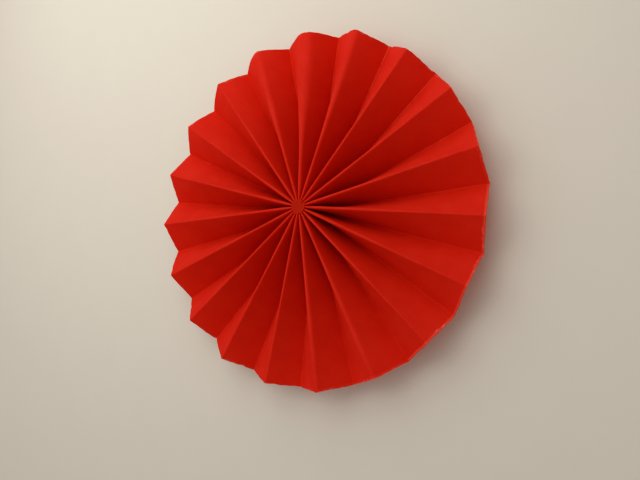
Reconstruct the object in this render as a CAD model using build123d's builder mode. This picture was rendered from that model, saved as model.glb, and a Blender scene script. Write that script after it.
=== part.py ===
"""Paper fan rosette: one pleated sheet closed into a ring, with a small round dot glued over its hub.

Millimetres. +Z comes out of the decorated face, z = 0 is the plane that the back of the hub lies in,
the origin is on the rosette's axis, and one mountain fold points along +Y.
"""
import os
from math import atan2, cos, pi, sin, sqrt, tan

from build123d import *

os.makedirs("parts", exist_ok=True)

# The folded sheet
pleat_count = 19          # mountain folds around the ring, with as many valley folds between them
rim_radius = 105.0        # axis to the rim end of every fold
panel_width = 21.4        # fold to fold, which is the depth of a pleat where it is closed, at the hub
paper_thickness = 0.25
fold_width = 1.0          # outside width of a rounded fold
fold_gap = 0.05           # between neighbouring folds where they are gathered, at the hub
rim_front_lift = 1.2      # how much further forward a mountain fold ends at the rim than at the hub

# The dot over the hub
dot_overlap = 1.3         # how far the dot reaches out over the fold ends
dot_thickness = 0.25
glue_film = 0.05          # between the highest fold under the dot and the dot

# Derived from the sizes above: the folds side by side fill the hub's ring, and a panel keeps its
# width, so opening at the rim costs it depth
half_step = pi / pleat_count / 2
hub_radius = (fold_width + fold_gap) / 2 / sin(2 * half_step)
rim_chord = 2 * rim_radius * sin(half_step)
rim_depth = sqrt(panel_width**2 - rim_chord**2)
rim_front = panel_width + rim_front_lift
dot_radius = hub_radius + dot_overlap
dot_seat = panel_width + rim_front_lift * dot_overlap / (rim_radius - hub_radius)


def pleat_section(radius, back, front):
    """Section of one panel, from its mountain fold to its valley fold, across the fan at a radius.

    Args:
        radius: axis to the fold ends, measured along the folds.
        back: z of the back of the valley fold.
        front: z of the front of the mountain fold.

    Returns:
        The corners of the section, as (across, z) pairs.
    """
    reach = radius * sin(half_step)
    outer = fold_width / 2
    slope = atan2(front - back, 2 * reach - fold_width + paper_thickness)
    inner = outer - paper_thickness * tan(slope / 2)
    upper = [
        (-reach, front),
        (-reach + outer, front),
        (reach - inner, back + paper_thickness),
        (reach, back + paper_thickness),
    ]
    lower = [(-across, front + back - z) for across, z in upper]
    return upper + lower


def section_plane(radius):
    """Upright plane through both fold ends of a panel, whose mountain fold lies over +X."""
    along = radius * cos(half_step)
    middle = (along * cos(half_step), along * sin(half_step), 0)
    return Plane(origin=middle, x_dir=(-sin(half_step), cos(half_step), 0),
                 z_dir=(cos(half_step), sin(half_step), 0))


# One panel: ruled between its section at the hub and its section at the rim
with BuildPart() as panel:
    with BuildSketch(section_plane(hub_radius)):
        Polygon(*pleat_section(hub_radius, 0, panel_width), align=None)
    with BuildSketch(section_plane(rim_radius)):
        Polygon(*pleat_section(rim_radius, rim_front - rim_depth, rim_front), align=None)
    loft(ruled=True)

# One pleat: the panel and its mirror image across the mountain fold
with BuildPart() as pleat:
    add(panel.part)
    mirror(about=Plane.XZ)

# The whole sheet
with BuildPart() as pleated_fan:
    with PolarLocations(0, pleat_count, start_angle=90):
        add(pleat.part)
pleated_fan.part.label = "pleated_fan"

# The dot lies on the fold ends around the hub
with BuildPart() as hub_dot:
    with BuildSketch(Plane.XY.offset(dot_seat + glue_film)):
        Circle(dot_radius)
    extrude(amount=dot_thickness)
hub_dot.part.label = "hub_dot"

for part in (pleated_fan.part, hub_dot.part):
    export_step(part, f"parts/{part.label}.step")
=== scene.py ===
"""A pleated paper fan rosette, dressed for its portrait.

The sheet is worked out as one surface: pleats that stand upright where they are gathered at the hub
and open towards the rim, with rounded folds and a hand-cut rim. All sizes are metres.
"""

import logging
import math
from dataclasses import dataclass, field

import bmesh
import bpy
import numpy as np
from mathutils import Matrix, Vector


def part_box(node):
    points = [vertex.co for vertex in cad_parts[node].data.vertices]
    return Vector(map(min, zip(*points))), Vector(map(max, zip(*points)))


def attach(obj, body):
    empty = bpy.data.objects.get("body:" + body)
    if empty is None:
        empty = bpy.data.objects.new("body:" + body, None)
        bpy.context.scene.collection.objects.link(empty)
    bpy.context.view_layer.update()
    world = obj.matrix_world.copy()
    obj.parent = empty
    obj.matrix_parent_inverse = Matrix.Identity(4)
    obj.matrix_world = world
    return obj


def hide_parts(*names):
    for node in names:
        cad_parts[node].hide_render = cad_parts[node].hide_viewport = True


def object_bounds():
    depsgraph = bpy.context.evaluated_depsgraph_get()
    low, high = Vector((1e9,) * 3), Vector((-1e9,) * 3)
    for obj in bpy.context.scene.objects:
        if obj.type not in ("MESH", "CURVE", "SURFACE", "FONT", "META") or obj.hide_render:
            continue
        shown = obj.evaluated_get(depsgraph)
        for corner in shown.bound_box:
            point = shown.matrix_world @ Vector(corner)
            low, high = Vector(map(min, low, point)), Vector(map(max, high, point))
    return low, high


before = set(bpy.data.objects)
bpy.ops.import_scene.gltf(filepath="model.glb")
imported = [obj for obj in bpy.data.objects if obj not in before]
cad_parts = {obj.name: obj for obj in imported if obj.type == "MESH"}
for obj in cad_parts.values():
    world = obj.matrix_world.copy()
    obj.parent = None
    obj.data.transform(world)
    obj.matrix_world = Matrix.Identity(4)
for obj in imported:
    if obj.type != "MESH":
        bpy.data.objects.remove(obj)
CAD_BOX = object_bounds()
MM = 0.001
WELD_DISTANCE = 0.001 * MM

log = logging.getLogger("rosette")


# ---------------------------------------------------------------- numbers on whole arrays

def smooth(values: np.ndarray, start: float, end: float) -> np.ndarray:
    """Ramp from 0 at start to 1 at end with level ends: 3t^2 - 2t^3 of the clipped fraction t.

    Args:
        values: where the ramp is read.
        start: the value at which the ramp is 0.
        end: the value at which the ramp is 1.

    Returns:
        The ramp at each value.
    """
    t = np.clip((values - start) / (end - start), 0.0, 1.0)
    return t * t * (3.0 - 2.0 * t)


def around(azimuth: np.ndarray, centre_deg: float, width_deg: float) -> np.ndarray:
    """Bump of 1 at one azimuth that falls off both ways like a bell, measured round the circle.

    Args:
        azimuth: angles in radians.
        centre_deg: the azimuth of the bump, in degrees.
        width_deg: its half width, in degrees.

    Returns:
        exp(-(turn / width)^2) for the shorter turn from the centre to each angle.
    """
    turn = np.angle(np.exp(1j * (azimuth - math.radians(centre_deg))))
    return np.exp(-(turn / math.radians(width_deg)) ** 2)


def ripple(position: np.ndarray, waves: list[tuple[float, float, float]]) -> np.ndarray:
    """Sum of sine waves.

    Args:
        position: where the sum is read.
        waves: (height, cycles over a unit of position, phase in radians) of each wave.

    Returns:
        The sum of height * sin(2 pi cycles position + phase).
    """
    total = np.zeros_like(position)
    for height, cycles, phase in waves:
        total = total + height * np.sin(2.0 * math.pi * cycles * position + phase)
    return total


# ---------------------------------------------------------------- meshes

@dataclass
class SheetGrid:
    """A grid of points on the middle of a sheet of paper, with what the finish needs at each.

    Rows run from the hub to the rim. Columns run across the folds, all the way round, so the last
    column is next to the first. ``flat`` is a point's place on the strip, which the finish follows:
    (across the strip, distance from the axis), with each panel counted at its full width all the way.
    """

    middle: np.ndarray
    flat: np.ndarray
    wear_and_highlight: np.ndarray

    def normals(self) -> np.ndarray:
        """Unit normals: the cross product of the steps along the columns and along the rows.

        Returns:
            An array of the shape of ``middle``, pointing out of the decorated face.
        """
        across = np.roll(self.middle, -1, axis=1) - np.roll(self.middle, 1, axis=1)
        outward = np.gradient(self.middle, axis=0)
        normal = np.cross(outward, across)
        return normal / np.linalg.norm(normal, axis=2, keepdims=True)

    def build(self, name: str, thickness: float, material: bpy.types.Material) -> bpy.types.Object:
        """Give the grid its thickness and make it a closed mesh object.

        The front is the middle plus half the thickness along the normal, the back is the middle
        minus it, and strips of quads close the ends.

        Args:
            name: the object's name.
            thickness: of the paper.
            material: its finish.

        Returns:
            The new object.
        """
        rows, columns = self.middle.shape[:2]
        lift = self.normals() * thickness / 2.0
        points = np.concatenate([(self.middle + lift).reshape(-1, 3), (self.middle - lift).reshape(-1, 3)])
        row, column = np.meshgrid(np.arange(rows - 1), np.arange(columns), indexing="ij")
        row, column = row.ravel(), column.ravel()
        following = (column + 1) % columns
        corners_row = np.stack([row, row + 1, row + 1, row], axis=1)
        corners_column = np.stack([column, column, following, following], axis=1)
        front = corners_row * columns + corners_column
        back = front[:, ::-1] + rows * columns
        unwrapped = np.stack([column, column, column + 1, column + 1], axis=1)
        seen_flat = self._flat_at(corners_row, unwrapped)
        faces = [front, back]
        flats = [seen_flat, seen_flat[:, ::-1]]
        for edge_row, turned in ((rows - 1, False), (0, True)):
            edge, edge_flat = self._row_edge(edge_row, turned)
            faces.append(edge)
            flats.append(edge_flat)
        mesh = quad_mesh(name, points, np.concatenate(faces), np.concatenate(flats))
        wear_and_highlight = mesh.attributes.new("wear_and_highlight", "FLOAT", "POINT")
        wear_and_highlight.data.foreach_set("value", np.tile(self.wear_and_highlight.ravel(), 2).astype(np.float32))
        mesh.materials.append(material)
        return link(name, mesh)

    def _flat_at(self, row: np.ndarray, column: np.ndarray) -> np.ndarray:
        """Flat coordinates at grid corners, running on past the last column to where the ring closes.

        Args:
            row: row numbers.
            column: column numbers, which may be one past the last.

        Returns:
            The flat coordinates, with a last axis of 2.
        """
        columns = self.middle.shape[1]
        flat = self.flat[row, column % columns].copy()
        period = self.flat[0, -1, 0] + self.flat[0, 1, 0] - self.flat[0, 0, 0]
        flat[..., 0] += (column >= columns) * period
        return flat

    def _row_edge(self, row: int, turned: bool) -> tuple[np.ndarray, np.ndarray]:
        """Quads that join front and back along one row.

        Args:
            row: the first or the last row.
            turned: whether the quads face the other way.

        Returns:
            The quads and their flat coordinates.
        """
        rows, columns = self.middle.shape[:2]
        column = np.arange(columns)
        following = (column + 1) % columns
        base = row * columns
        depth = rows * columns
        quads = np.stack([base + column, base + column + depth, base + following + depth, base + following],
                         axis=1)
        here = self._flat_at(np.full_like(column, row), column)
        there = self._flat_at(np.full_like(column, row), column + 1)
        flats = np.stack([here, here, there, there], axis=1)
        if turned:
            return quads[:, ::-1], flats[:, ::-1]
        return quads, flats


def quad_mesh(name: str, points: np.ndarray, quads: np.ndarray, flat: np.ndarray) -> bpy.types.Mesh:
    """Make a smooth-shaded mesh of quads with a UV map.

    Args:
        name: the mesh's name.
        points: vertex positions, one row each.
        quads: four vertex numbers a face.
        flat: UV of each face corner, shaped (faces, 4, 2).

    Returns:
        The mesh.
    """
    mesh = bpy.data.meshes.new(name)
    count = len(quads)
    mesh.vertices.add(len(points))
    mesh.vertices.foreach_set("co", points.ravel().astype(np.float32))
    mesh.loops.add(count * 4)
    mesh.loops.foreach_set("vertex_index", quads.ravel().astype(np.int32))
    mesh.polygons.add(count)
    mesh.polygons.foreach_set("loop_start", np.arange(0, count * 4, 4, dtype=np.int32))
    mesh.update(calc_edges=True)
    mesh.polygons.foreach_set("use_smooth", np.ones(count, dtype=bool))
    layer = mesh.uv_layers.new(name="flat")
    layer.uv.foreach_set("vector", flat.reshape(-1, 2).ravel().astype(np.float32))
    mesh.validate()
    return mesh


def link(name: str, mesh: bpy.types.Mesh) -> bpy.types.Object:
    """Put a mesh into the scene as an object of the same name, at the origin.

    Args:
        name: the object's name.
        mesh: its mesh.

    Returns:
        The object.
    """
    piece = bpy.data.objects.new(name, mesh)
    bpy.context.scene.collection.objects.link(piece)
    return piece


# ---------------------------------------------------------------- finishes

class NodeBench:
    """A material's node tree, with short calls that add and join its nodes."""

    def __init__(self, name: str) -> None:
        """Start an empty material with a Principled shader on its output."""
        self.material = bpy.data.materials.new(name)
        self.material.use_nodes = True
        self.tree = self.material.node_tree
        self.tree.nodes.clear()
        self.output = self.tree.nodes.new("ShaderNodeOutputMaterial")
        self.shader = self.tree.nodes.new("ShaderNodeBsdfPrincipled")
        self.tree.links.new(self.shader.outputs["BSDF"], self.output.inputs["Surface"])

    def put(self, socket: bpy.types.NodeSocket, value: object) -> None:
        """Join an output to a socket, or set the socket's own value."""
        if isinstance(value, bpy.types.NodeSocket):
            self.tree.links.new(value, socket)
        else:
            socket.default_value = value

    def math(self, operation: str, first: object, second: object = 0.0, third: object = 0.0,
             clamp: bool = False) -> bpy.types.NodeSocket:
        """Add a Math node.

        Args:
            operation: its operation.
            first: its first input.
            second: its second input.
            third: its third input.
            clamp: whether the result is held between 0 and 1.

        Returns:
            Its output.
        """
        node = self.tree.nodes.new("ShaderNodeMath")
        node.operation = operation
        node.use_clamp = clamp
        for socket, value in zip(node.inputs, (first, second, third)):
            self.put(socket, value)
        return node.outputs[0]

    def ramp(self, value: object, start: float, end: float) -> bpy.types.NodeSocket:
        """Smooth ramp of a value, 0 at start and 1 at end.

        Args:
            value: what is ramped.
            start: where the ramp is 0.
            end: where the ramp is 1.

        Returns:
            The ramp's output.
        """
        node = self.tree.nodes.new("ShaderNodeMapRange")
        node.interpolation_type = "SMOOTHSTEP"
        falling = start > end
        low, high = (end, start) if falling else (start, end)
        for label, setting in (("Value", value), ("From Min", low), ("From Max", high),
                               ("To Min", 1.0 if falling else 0.0), ("To Max", 0.0 if falling else 1.0)):
            self.put(node.inputs[label], setting)
        return node.outputs["Result"]

    def noise(self, vector: bpy.types.NodeSocket, size: float, detail: float = 2.0,
              roughness: float = 0.5) -> bpy.types.NodeSocket:
        """Noise whose features are about the given size.

        Args:
            vector: the coordinate that it follows.
            size: of its features, in the coordinate's unit.
            detail: octaves.
            roughness: of the octaves.

        Returns:
            The noise's value, about 0.5 on average.
        """
        node = self.tree.nodes.new("ShaderNodeTexNoise")
        self.put(node.inputs["Vector"], vector)
        node.inputs["Scale"].default_value = 1.0 / size
        node.inputs["Detail"].default_value = detail
        node.inputs["Roughness"].default_value = roughness
        return node.outputs["Fac"]

    def stretch(self, vector: bpy.types.NodeSocket, scale: tuple[float, float, float],
                turn_deg: float = 0.0) -> bpy.types.NodeSocket:
        """Coordinate turned about Z, then scaled along each axis.

        Args:
            vector: the coordinate.
            scale: along X, Y and Z.
            turn_deg: about Z.

        Returns:
            The new coordinate.
        """
        node = self.tree.nodes.new("ShaderNodeMapping")
        self.put(node.inputs["Vector"], vector)
        node.inputs["Rotation"].default_value = (0.0, 0.0, math.radians(turn_deg))
        node.inputs["Scale"].default_value = scale
        return node.outputs["Vector"]

    def mix(self, amount: object, first: object, second: object) -> bpy.types.NodeSocket:
        """Mix two colours.

        Args:
            amount: 0 for the first, 1 for the second.
            first: a colour.
            second: a colour.

        Returns:
            The mixed colour.
        """
        node = self.tree.nodes.new("ShaderNodeMix")
        node.data_type = "RGBA"
        self.put(node.inputs[0], amount)
        self.put(node.inputs[6], first)
        self.put(node.inputs[7], second)
        return node.outputs[2]

    def let_through(self, share: float, colour: tuple[float, float, float, float]) -> None:
        """Let light through the surface, scattered, by mixing a Translucent shader into it.

        Args:
            share: 0 for an opaque surface, 1 for one that only lets light through.
            colour: of the light that comes through.
        """
        thin = self.tree.nodes.new("ShaderNodeBsdfTranslucent")
        thin.inputs["Color"].default_value = colour
        both = self.tree.nodes.new("ShaderNodeMixShader")
        both.inputs[0].default_value = share
        self.tree.links.new(self.shader.outputs["BSDF"], both.inputs[1])
        self.tree.links.new(thin.outputs["BSDF"], both.inputs[2])
        self.tree.links.new(both.outputs["Shader"], self.output.inputs["Surface"])

    def bump(self, height: bpy.types.NodeSocket, distance: float, strength: float) -> bpy.types.NodeSocket:
        """Bump from a height.

        Args:
            height: 0 to 1.
            distance: how far a height of 1 stands out.
            strength: of the effect.

        Returns:
            The bumped normal.
        """
        node = self.tree.nodes.new("ShaderNodeBump")
        self.put(node.inputs["Height"], height)
        node.inputs["Distance"].default_value = distance
        node.inputs["Strength"].default_value = strength
        return node.outputs["Normal"]


@dataclass(frozen=True)
class RedPaper:
    """Red craft paper, dyed through, with felted fibres, worn folds with a painted highlight on some creases,
    and a torn-looking cut edge with a painted highlight along it.
    """

    colour: tuple[float, float, float, float] = (0.79, 0.068, 0.054, 1.0)
    mottle: tuple[float, float, float, float] = (0.727, 0.054, 0.043, 1.0)
    # Paler colour of worn folds, also used for the painted highlights on some creases and along the cut edge.
    worn_and_highlight: tuple[float, float, float, float] = (1.0, 0.26, 0.19, 1.0)
    torn: tuple[float, float, float, float] = (0.88, 0.27, 0.23, 1.0)
    roughness: float = 0.78
    thinness: float = 0.40
    glow: tuple[float, float, float, float] = (0.95, 0.020, 0.006, 1.0)
    fibre: float = 0.45 * MM
    cloud: float = 14.0 * MM
    crease: float = 0.55 * MM
    nibble: float = 2.4 * MM
    patch: float = 23.0 * MM
    rim_strip: float = 1.5 * MM
    # How strongly the painted highlight lightens the cut edge.
    cut_light: float = 0.35
    relief: float = 0.05 * MM

    def build(self, name: str, panel_width: float, rim_radius: float) -> bpy.types.Material:
        """Make the finish for a folded strip whose UV is a place on the strip, in metres.

        Args:
            name: the material's name.
            panel_width: fold to fold.
            rim_radius: the flat coordinate of the cut rim.

        Returns:
            The material.
        """
        bench = NodeBench(name)
        uv = bench.tree.nodes.new("ShaderNodeUVMap")
        uv.uv_map = "flat"
        flat = uv.outputs["UV"]
        split = bench.tree.nodes.new("ShaderNodeSeparateXYZ")
        bench.put(split.inputs[0], flat)
        across, outward = split.outputs["X"], split.outputs["Y"]

        fibres = bench.noise(bench.stretch(flat, (1.0, 0.35, 1.0), 20.0), self.fibre, 3.0, 0.6)
        crossed = bench.noise(bench.stretch(flat, (0.4, 1.0, 1.0), -35.0), self.fibre * 1.4, 3.0, 0.6)
        felt = bench.math("MULTIPLY_ADD", crossed, 0.5, bench.math("MULTIPLY", fibres, 0.5))
        clouds = bench.noise(flat, self.cloud, 3.0, 0.55)

        blotch = bench.math("MULTIPLY_ADD", felt, 0.8, bench.math("MULTIPLY", clouds, 0.7))
        base = bench.mix(bench.ramp(blotch, 0.55, 0.95), self.mottle, self.colour)

        # Paler lines along the folds, weighted by the per-point attribute: real wear, plus a painted
        # highlight on the valleys at the upper right.
        to_fold = bench.math("PINGPONG", across, panel_width / 2.0)
        wear_and_highlight = bench.tree.nodes.new("ShaderNodeAttribute")
        wear_and_highlight.attribute_name = "wear_and_highlight"
        broken = bench.noise(bench.stretch(flat, (1.0, 0.3, 1.0)), 1.6 * MM, 2.0, 0.6)
        crease = bench.math("MULTIPLY", bench.ramp(to_fold, self.crease, 0.1 * MM),
                            bench.math("MULTIPLY", wear_and_highlight.outputs["Fac"], bench.ramp(broken, 0.25, 0.6)))
        rubbed_and_highlit = bench.mix(crease, base, self.worn_and_highlight)

        nibble = bench.noise(bench.stretch(flat, (1.0, 1.6, 1.0)), self.nibble, 3.0, 0.65)
        patches = bench.noise(flat, self.patch, 1.0, 0.5)
        near_rim = bench.ramp(outward, rim_radius - self.rim_strip, rim_radius - 0.2 * MM)
        flecks = bench.math("MULTIPLY", bench.ramp(nibble, 0.5, 0.64), bench.ramp(patches, 0.44, 0.6))
        torn = bench.math("MULTIPLY", near_rim, flecks)
        # Paler colour in the last half millimetre of the rim, all round: a painted highlight on the lit cut
        # edge.
        last = bench.ramp(outward, rim_radius - 0.5 * MM, rim_radius + 0.1 * MM)
        cut_edge_highlight = bench.math("MULTIPLY", last, self.cut_light)
        coloured = bench.mix(torn, bench.mix(cut_edge_highlight, rubbed_and_highlit, self.worn_and_highlight), self.torn)

        bench.put(bench.shader.inputs["Base Color"], coloured)
        bench.put(bench.shader.inputs["Roughness"], self.roughness)
        bench.put(bench.shader.inputs["Specular IOR Level"], 0.2)
        bench.let_through(self.thinness, self.glow)
        relief = bench.math("MULTIPLY_ADD", clouds, 0.5, felt)
        bench.put(bench.shader.inputs["Normal"], bench.bump(relief, self.relief, 0.6))
        return bench.material


@dataclass(frozen=True)
class PaleFloor:
    """Cream board with a faint tooth."""

    colour: tuple[float, float, float, float] = (0.706, 0.660, 0.574, 1.0)
    # A slightly darker tone of the board, mixed in by random clouds.
    darker_tone: tuple[float, float, float, float] = (0.684, 0.640, 0.557, 1.0)

    def build(self, name: str) -> bpy.types.Material:
        """Make the finish.

        Args:
            name: the material's name.

        Returns:
            The material.
        """
        bench = NodeBench(name)
        where = bench.tree.nodes.new("ShaderNodeTexCoord").outputs["Object"]
        clouds = bench.noise(where, 30.0 * MM, 3.0, 0.5)
        bench.put(bench.shader.inputs["Base Color"], bench.mix(clouds, self.darker_tone, self.colour))
        bench.put(bench.shader.inputs["Roughness"], 0.85)
        bench.put(bench.shader.inputs["Normal"], bench.bump(bench.noise(where, 1.2 * MM), 0.05 * MM, 0.3))
        return bench.material


# ---------------------------------------------------------------- the rosette

@dataclass
class PleatedFan:
    """The folded sheet: mountain and valley folds by turns, from the hub's ring to the rim."""

    rim_radius: float
    pleat_count: int = 19
    panel_width: float = 21.4 * MM
    hub_radius: float = 3.2 * MM
    paper: float = 0.25 * MM
    rim_front: float = 22.6 * MM
    mountain_radius: float = 0.39 * MM
    ridge_radius: float = 0.72 * MM
    valley_radius: float = 0.16 * MM
    rim_fold_radius: float = 0.34 * MM
    arc_steps: int = 4
    flat_steps: int = 13
    rows: int = 50
    rim_rows: int = 6
    lip_width: float = 1.0 * MM
    lip_lift: float = 0.9 * MM
    nick_depth: float = 1.0 * MM
    upper_softness: float = 7.0 * MM
    lower_softness: float = 3.5 * MM
    lap_softness: float = 0.35 * MM
    slack: float = 0.25 * MM
    upper_slack: float = 0.9 * MM
    long_side: float = 1.3 * MM
    finish: RedPaper = field(default_factory=RedPaper)

    def __post_init__(self) -> None:
        """Work out the folds' directions and how deep the pleats stay at the rim."""
        self.fold_count = 2 * self.pleat_count
        number = np.arange(self.fold_count)
        self.mountain = number % 2 == 0
        self.azimuth = math.pi / 2.0 + number * 2.0 * math.pi / self.fold_count
        self.azimuth = self.azimuth + self.drift(self.azimuth)
        chord = 2.0 * self.rim_radius * math.sin(math.pi / self.fold_count)
        self.rim_depth = math.sqrt(self.panel_width**2 - chord**2)

    def drift(self, azimuth: np.ndarray) -> np.ndarray:
        """How far a fold lies from even spacing, because the fan was opened by hand.

        Args:
            azimuth: of each fold, evenly spaced.

        Returns:
            The turn of each fold: a slow wave round the fan plus a small quick one.
        """
        turns = azimuth / (2.0 * math.pi)
        return ripple(turns, [(0.0020, 2.0, 0.5), (0.0025, 7.0, 1.3), (0.0015, 11.0, 0.2)])

    def stations(self) -> np.ndarray:
        """Rows as fractions of the way from the hub to the rim, closest together at the rim."""
        even = np.linspace(0.0, 1.0, self.rows - self.rim_rows)
        spread = even - 0.1 * np.sin(2.0 * math.pi * even)
        lip = 1.0 - 0.02 * np.linspace(0.1, 0.9, self.rim_rows) ** 1.5
        return np.sort(np.concatenate([spread, lip]))

    def fold_lines(self, station: np.ndarray) -> tuple[np.ndarray, np.ndarray, np.ndarray]:
        """Where each fold runs.

        A fold is straight. Its distance from the axis goes from the hub radius to its own rim radius,
        and its height from the hub's front or back to the rim's. Between straight folds a panel is
        about a tenth narrower midway than at its ends, which folded paper can't be: real folds bow.

        Args:
            station: fractions of the way to the rim.

        Returns:
            x and y (folds, stations, 2), z (folds, stations), and distance from the axis.
        """
        turns = self.azimuth / (2.0 * math.pi)
        reach = self.rim_radius + ripple(turns, [(0.15 * MM, 5.0, 0.4), (0.15 * MM, 9.0, 2.0)])
        reach = reach + self.long_side * around(self.azimuth, 335.0, 32.0) - 0.2 * MM
        reach = reach + 0.6 * MM * around(self.azimuth, 128.0, 26.0) * self.mountain
        distance = self.hub_radius + station[None, :] * (reach - self.hub_radius)[:, None]
        half = self.paper / 2.0
        hub_z = np.where(self.mountain, self.panel_width - half, half)
        rim_z = np.where(self.mountain, self.rim_front - half, self.rim_front - self.rim_depth + half)
        rim_z = rim_z + ripple(turns, [(0.2 * MM, 4.0, 0.9), (0.2 * MM, 9.0, 2.6)]) - 0.3 * MM * self.mountain
        height = hub_z[:, None] + station[None, :] * (rim_z - hub_z)[:, None]
        direction = np.stack([np.cos(self.azimuth), np.sin(self.azimuth)], axis=1)
        return direction[:, None, :] * distance[:, :, None], height, distance

    def rounding(self, station: np.ndarray) -> np.ndarray:
        """Radius of each fold along its length.

        The folds are tightest where they are gathered. The mountains are rounder on their inner half
        than at the rim, and those at the top and two at the bottom were pressed less and open into a
        soft curve. The top one is rounder all along, as if the glued ends lapped there. No lap is built.

        Args:
            station: fractions of the way to the rim.

        Returns:
            The radius of the sheet's middle, (folds, stations).
        """
        hub_fold = np.where(self.mountain, self.mountain_radius, self.valley_radius)[:, None]
        crisp = hub_fold + smooth(station, 0.0, 0.25)[None, :] * (self.rim_fold_radius - hub_fold)
        swell = smooth(station, 0.0, 0.1) * (1.0 - smooth(station, 0.35, 0.9))
        crisp = crisp + (self.ridge_radius - self.rim_fold_radius) * self.mountain[:, None] * swell[None, :]
        upper = self.upper_softness * around(self.azimuth, 90.0, 22.0)
        lower = self.lower_softness * around(self.azimuth, 289.0, 14.0)
        soft = ((upper + lower) * self.mountain)[:, None] * smooth(station, 0.2, 1.0)[None, :]
        lapped = self.lap_softness * (around(self.azimuth, 90.0, 3.0) * self.mountain)[:, None]
        return crisp + soft + lapped * smooth(station, 0.02, 0.12)[None, :]

    def grid(self) -> SheetGrid:
        """Work out the whole sheet.

        Across a panel the sheet leaves the mountain fold on a circle of that fold's radius, runs
        straight along the line that touches both folds' circles from opposite sides, and enters the
        valley fold on its circle. With D and H the distance and drop between the circles' centres
        and r1, r2 their radii, that line slopes by atan2(H, D) + asin((r1 + r2) / hypot(D, H)).

        Returns:
            The sheet's grid.
        """
        station = self.stations()
        ground, height, distance = self.fold_lines(station)
        radius = self.rounding(station)
        first = np.arange(self.fold_count)
        second = (first + 1) % self.fold_count
        top = np.where(self.mountain, first, second)
        low = np.where(self.mountain, second, first)

        step = ground[low] - ground[top]
        spacing = np.linalg.norm(step, axis=2)
        r1, r2 = radius[top], radius[low]
        drop = height[top] - height[low] - r1 - r2
        slope = np.arctan2(drop, spacing) + np.arcsin((r1 + r2) / np.hypot(spacing, drop))

        turn = np.linspace(0.0, 1.0, self.arc_steps + 1)[None, None, :] * slope[:, :, None]
        leave_x = r1[:, :, None] * np.sin(turn)
        leave_z = (height[top] - r1)[:, :, None] + r1[:, :, None] * np.cos(turn)
        enter_x = spacing[:, :, None] - r2[:, :, None] * np.sin(turn[:, :, ::-1])
        enter_z = (height[low] + r2)[:, :, None] - r2[:, :, None] * np.cos(turn[:, :, ::-1])
        share = np.linspace(0.0, 1.0, self.flat_steps + 1)[None, None, 1:-1]
        run_x = leave_x[:, :, -1:] + share * (enter_x[:, :, :1] - leave_x[:, :, -1:])
        run_z = leave_z[:, :, -1:] + share * (enter_z[:, :, :1] - leave_z[:, :, -1:])
        x = np.concatenate([leave_x, run_x, enter_x], axis=2)
        z = np.concatenate([leave_z, run_z, enter_z], axis=2)

        length = np.cumsum(np.hypot(np.diff(x, axis=2), np.diff(z, axis=2)), axis=2)
        length = np.concatenate([np.zeros_like(length[:, :, :1]), length], axis=2)
        fraction = length / length[:, :, -1:]
        towards = step / spacing[:, :, None]
        xy = ground[top][:, :, None, :] + towards[:, :, None, :] * x[:, :, :, None]
        points = np.concatenate([xy, z[:, :, :, None]], axis=3)
        points = points + self.slackness(fraction, station)[:, :, :, None] * np.array([0.0, 0.0, 1.0])

        forward = self.mountain[:, None, None, None]
        points = np.where(forward, points, points[:, :, ::-1])[:, :, :-1]
        fraction = np.where(forward[..., 0], fraction, 1.0 - fraction[:, :, ::-1])[:, :, :-1]
        across = (first[:, None, None] + fraction) * self.panel_width
        outward = np.broadcast_to(distance[top][:, :, None], across.shape)
        flat = np.stack([across, outward], axis=3)

        rows = points.transpose(1, 0, 2, 3).reshape(self.rows, -1, 3)
        flat = flat.transpose(1, 0, 2, 3).reshape(self.rows, -1, 2)
        rows = self.hand_cut(rows, flat, station)
        return SheetGrid(rows, flat, self.wear_and_highlight(rows, flat, station))

    def slackness(self, fraction: np.ndarray, station: np.ndarray) -> np.ndarray:
        """Gentle billow of each panel between its folds.

        Args:
            fraction: of the way across each panel.
            station: fractions of the way to the rim.

        Returns:
            A lift of sin(pi fraction) times a height of its own for each panel, most near the rim.
            The panels at the top stand out the most, where the mountains are soft.
        """
        turns = self.azimuth / (2.0 * math.pi)
        billow = self.slack + ripple(turns, [(0.15 * MM, 6.0, 0.7), (0.15 * MM, 13.0, 1.9)])
        billow = billow + self.upper_slack * around(self.azimuth, 100.0, 38.0)
        return np.sin(math.pi * fraction) * billow[:, None, None] * smooth(station, 0.1, 0.9)[None, :, None]

    def hand_cut(self, points: np.ndarray, flat: np.ndarray, station: np.ndarray) -> np.ndarray:
        """Give the rim the small steps and nibbles that scissors leave.

        Points near the rim move along the strip's length by a sum of sines of where they lay
        across it, plus two sharp nicks a panel that are seldom deep. At the lower right the
        outermost strip also curls forwards, by the square of a smooth ramp.

        Args:
            points: the sheet's points.
            flat: their flat coordinates.
            station: fractions of the way to the rim.

        Returns:
            The moved points.
        """
        across = flat[-1, :, 0]
        panels = across / self.panel_width
        cut = ripple(panels, [(0.09 * MM, 1.31, 0.3), (0.06 * MM, 3.7, 1.1), (0.04 * MM, 9.1, 2.2)])
        nick = np.maximum(0.0, ripple(panels, [(0.5, 0.61, 0.2), (0.5, 1.87, 1.0)]) - 0.6)
        shift = cut - self.nick_depth * nick
        outward = points[-1] - points[-3]
        outward = outward / np.linalg.norm(outward, axis=1, keepdims=True)
        share = smooth(station, 0.93, 1.0)
        points = points + share[:, None, None] * shift[None, :, None] * outward[None]
        azimuth = np.arctan2(points[-1, :, 1], points[-1, :, 0])
        lip = self.lip_lift * around(azimuth, 322.0, 34.0) + 0.2 * MM * around(azimuth, 20.0, 40.0)
        curl = smooth(station, 1.0 - 2.2 * self.lip_width / self.rim_radius, 1.0) ** 2
        points[:, :, 2] += curl[:, None] * lip[None, :]
        return points

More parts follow.
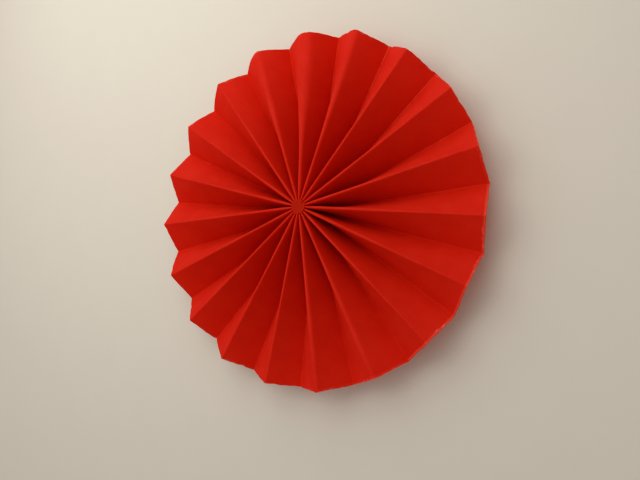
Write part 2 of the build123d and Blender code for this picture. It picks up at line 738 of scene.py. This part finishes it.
    def wear_and_highlight(self, points: np.ndarray, flat: np.ndarray, station: np.ndarray) -> np.ndarray:
        """How much the folds are lightened at each point: partly real wear, partly painted highlight.

        Args:
            points: the sheet's points.
            flat: their flat coordinates.
            station: fractions of the way to the rim.

        Returns:
            0 to 1: a little everywhere and a little more on the valleys for wear, and most on the outer half
                    of the valleys at the upper right, which is a painted highlight where light catches those
                    creases.
        """
        azimuth = np.arctan2(points[:, :, 1], points[:, :, 0])
        fold = np.rint(flat[:, :, 0] / self.panel_width)
        valley = fold % 2 == 1
        outer = smooth(station, 0.3, 0.75)[:, None]
        # 0.05 everywhere and 0.1 more on the valleys is wear; the bump around azimuth 66 degrees is a painted
        # highlight on the creases that catch the light.
        return 0.05 + valley * (0.1 + 0.8 * around(azimuth, 66.0, 40.0)) * outer

    def build(self) -> bpy.types.Object:
        """Build the sheet, hang it on the root body and hide the CAD part that it replaces.

        Returns:
            The sheet's object.
        """
        material = self.finish.build("red folded paper", self.panel_width, self.rim_radius)
        piece = self.grid().build("folded_sheet", self.paper, material)
        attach(piece, "root")
        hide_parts("pleated_fan")
        return piece


@dataclass
class CentreDot:
    """The round dot over the hub, pressed down on the fold ends so that they print through."""

    seat: float
    top: float
    radius: float
    folds: int = 19
    print_through: float = 0.06 * MM
    rings: int = 14
    spokes: int = 152
    notch_deg: float = 38.0
    notch_depth: float = 0.38
    margin: float = 0.975
    dish: float = 0.12 * MM
    # The dot's darker red is painted shade: the same paper, coloured darker to stand for the lesser light on
    # its flat face.
    finish: RedPaper = field(default_factory=lambda: RedPaper(colour=(0.60, 0.050, 0.036, 1.0),
                                                              mottle=(0.52, 0.040, 0.030, 1.0)))

    def surface(self, lift: float) -> np.ndarray:
        """Points of the dot's top or underside on rings around the axis.

        The height at distance d and azimuth a is the seat plus a lift, less a dish at the middle,
        plus a ripple of one wave a fold that grows as (d / radius)^4. The outline is a circle a
        little inside the radius, with small ripples and one notch.

        Args:
            lift: of the surface over the seat.

        Returns:
            Points (rings, spokes, 3).
        """
        share = np.linspace(0.0, 1.0, self.rings)[:, None]
        azimuth = np.linspace(0.0, 2.0 * math.pi, self.spokes, endpoint=False)[None, :]
        trimmed = 1.0 + ripple(azimuth / (2.0 * math.pi), [(0.012, 3.0, 0.4), (0.008, 7.0, 1.0)])
        trimmed = trimmed - self.notch_depth * around(azimuth, self.notch_deg, 9.0)
        distance = share * trimmed * self.margin * self.radius
        wave = self.print_through * np.cos(self.folds * (azimuth - math.pi / 2.0)) * share**4
        z = self.seat + lift + wave - self.dish * (1.0 - share**2)
        return np.stack([distance * np.cos(azimuth), distance * np.sin(azimuth), z], axis=2)

    def build(self) -> bpy.types.Object:
        """Build the dot as a closed disc, hang it on the root body and hide the CAD part that it replaces.

        Returns:
            The dot's object.
        """
        thickness = self.top - self.seat
        upper = self.surface(thickness - self.print_through)
        lower = self.surface(self.print_through)[::-1]
        loop = np.concatenate([upper, lower])
        rows, spokes = loop.shape[:2]
        row, column = np.meshgrid(np.arange(rows - 1), np.arange(spokes), indexing="ij")
        row, column = row.ravel(), column.ravel()
        following = (column + 1) % spokes
        corners = np.stack([row * spokes + column, (row + 1) * spokes + column,
                            (row + 1) * spokes + following, row * spokes + following], axis=1)
        points = loop.reshape(-1, 3)
        flat = points[corners][:, :, :2] + 0.02
        mesh = quad_mesh("centre_dot", points, corners, flat)
        mesh.materials.append(self.finish.build("red dot paper", 1.0, 1.0))
        piece = link("centre_dot", mesh)
        weld(piece)
        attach(piece, "root")
        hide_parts("hub_dot")
        return piece


def weld(piece: bpy.types.Object) -> None:
    """Merge the points that lie together at a closed shape's poles, and turn its faces outwards."""
    work = bmesh.new()
    work.from_mesh(piece.data)
    bmesh.ops.remove_doubles(work, verts=work.verts, dist=WELD_DISTANCE)
    bmesh.ops.recalc_face_normals(work, faces=work.faces)
    work.to_mesh(piece.data)
    work.free()


# ---------------------------------------------------------------- the studio

@dataclass
class Studio:
    """The board that the rosette lies on, the lights and the camera."""

    eye: tuple[float, float, float] = (144.5 * MM, -41.9 * MM, 265.0 * MM)
    aim: tuple[float, float, float] = (15.2 * MM, -19.7 * MM, 21.4 * MM)
    lean_deg: float = -2.0
    lens: float = 27.55
    floor_half: float = 3.0
    room_colour: tuple[float, float, float, float] = (1.0, 0.96, 0.93, 1.0)
    room_strength: float = 0.42
    floor_finish: PaleFloor = field(default_factory=PaleFloor)

    def floor(self) -> bpy.types.Object:
        """Lay the board in the plane under the hub.

        Returns:
            The floor's object.
        """
        half = self.floor_half
        height = CAD_BOX[0][2]
        mesh = bpy.data.meshes.new("floor")
        corners = [(x, y, height) for x, y in ((-half, -half), (half, -half), (half, half), (-half, half))]
        mesh.from_pydata(corners, [], [(0, 1, 2, 3)])
        mesh.materials.append(self.floor_finish.build("pale board"))
        piece = link("floor", mesh)
        return piece

    def lamp(self, name: str, azimuth_deg: float, elevation_deg: float, distance: float, size: float,
             power: float, colour: tuple[float, float, float]) -> bpy.types.Object:
        """Hang a square soft light that faces the hub.

        Args:
            name: the lamp's name.
            azimuth_deg: where it hangs, from +X towards +Y.
            elevation_deg: its height as an angle above the board.
            distance: from the hub.
            size: of its side.
            power: in watts.
            colour: of its light.

        Returns:
            The lamp's object.
        """
        light = bpy.data.lights.new(name, "AREA")
        light.size = size
        light.energy = power
        light.color = colour
        azimuth, elevation = math.radians(azimuth_deg), math.radians(elevation_deg)
        place = Vector((math.cos(azimuth) * math.cos(elevation), math.sin(azimuth) * math.cos(elevation),
                        math.sin(elevation))) * distance
        lamp = bpy.data.objects.new(name, light)
        lamp.matrix_world = Matrix.Translation(place) @ place.to_track_quat("Z", "Y").to_matrix().to_4x4()
        bpy.context.scene.collection.objects.link(lamp)
        return lamp

    def camera(self) -> bpy.types.Object:
        """Set up the camera over the fan's right side, with the fan's +Y upwards.

        Returns:
            The camera's object.
        """
        data = bpy.data.cameras.new("camera")
        data.lens = self.lens
        data.sensor_width = 36.0
        data.clip_start = 0.01
        eye, aim = Vector(self.eye), Vector(self.aim)
        forward = (aim - eye).normalized()
        right = forward.cross(Vector((0.0, 1.0, 0.0))).normalized()
        upright = right.cross(forward)
        lean = math.radians(self.lean_deg)
        up = upright * math.cos(lean) + right * math.sin(lean)
        right = forward.cross(up)
        turn = Matrix((right, up, -forward)).transposed().to_4x4()
        camera = bpy.data.objects.new("camera", data)
        camera.matrix_world = Matrix.Translation(eye) @ turn
        bpy.context.scene.collection.objects.link(camera)
        bpy.context.scene.camera = camera
        return camera

    def build(self) -> None:
        """Set up everything around the rosette."""
        self.floor()
        self.lamp("key light", 114.0, 49.0, 0.40, 0.56, 1.5, (1.0, 0.96, 0.91))
        self.lamp("fill light", 190.0, 45.0, 0.80, 0.80, 1.1, (1.0, 0.97, 0.94))
        self.lamp("front light", 344.0, 62.0, 0.50, 0.30, 0.1, (1.0, 0.95, 0.95))
        world = bpy.data.worlds.new("soft room")
        world.use_nodes = True
        background = world.node_tree.nodes["Background"]
        background.inputs["Color"].default_value = self.room_colour
        background.inputs["Strength"].default_value = self.room_strength
        bpy.context.scene.world = world
        bpy.context.scene.view_settings.view_transform = "Khronos PBR Neutral"
        self.camera()


def report(piece: bpy.types.Object) -> None:
    """Log a piece's name, face count and size."""
    size = " x ".join(f"{side / MM:.1f}" for side in piece.dimensions)
    log.info("%s: %d faces, %s mm", piece.name, len(piece.data.polygons), size)


def main() -> None:
    """Build the rosette and its studio."""
    logging.basicConfig(level=logging.INFO, format="%(name)s: %(message)s")
    fan_low, fan_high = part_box("pleated_fan")
    dot_low, dot_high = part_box("hub_dot")
    report(PleatedFan(rim_radius=fan_high[1]).build())
    report(CentreDot(seat=dot_low[2], top=dot_high[2], radius=dot_high[0]).build())
    Studio().build()


if __name__ == "__main__":
    main()
